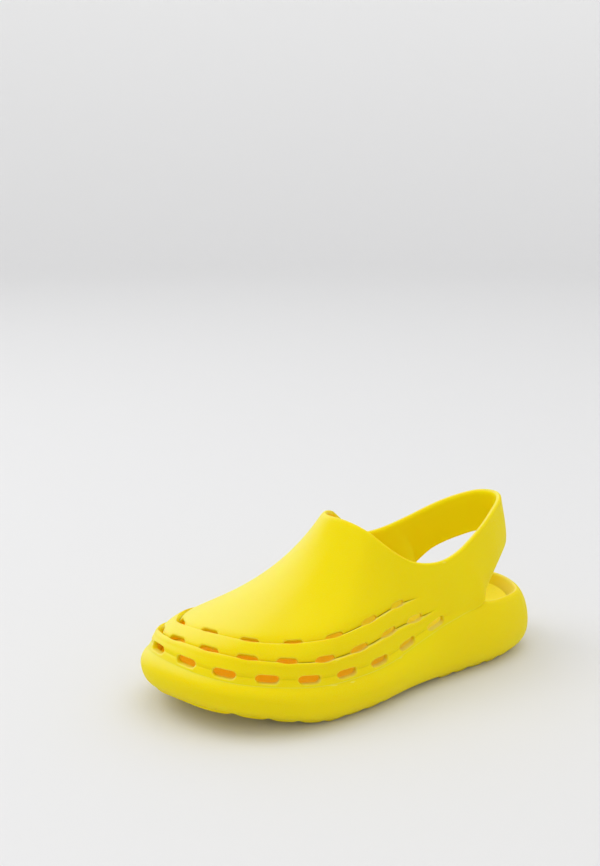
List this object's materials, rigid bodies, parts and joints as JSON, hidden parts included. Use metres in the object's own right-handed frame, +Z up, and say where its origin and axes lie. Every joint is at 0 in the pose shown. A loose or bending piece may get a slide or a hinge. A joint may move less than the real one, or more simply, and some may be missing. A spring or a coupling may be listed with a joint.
{
  "type": "slingback foam clog",
  "caption": "Chunky moulded foam clog with a closed vented toe, stepped toe bands, thick platform sole and an open heel with a flexible heel strap.",
  "frame": {"origin": "ground point under the middle of the clog's bounding box", "axes": "+Z up, +Y toward the heel, -Y toward the toe, +X toward the outer side of the left foot"},
  "size_m": [0.1175, 0.27, 0.108],
  "materials": {
    "upper_foam": "matte moulded foam, fine grain",
    "platform_foam": "matte moulded foam, fine grain",
    "footbed_foam": "matte moulded foam, dimpled",
    "tread_foam": "matte moulded foam, slightly scuffed"
  },
  "bodies": {
    "clog": {"upper_shell": "upper_foam", "platform_midsole": "platform_foam", "footbed": "footbed_foam", "forefoot_tread": "tread_foam", "heel_tread": "tread_foam"},
    "strap": {"heel_strap": "upper_foam"}
  },
  "joints": [
    {"name": "heel_strap_flex", "type": "hinge", "parent": "clog", "child": "strap", "pos_m": [0, 0.066, 0.063], "axis": [1, 0, 0], "range_deg": [-22, 8], "stiffness_Nm_per_rad": 0.5}
  ]
}
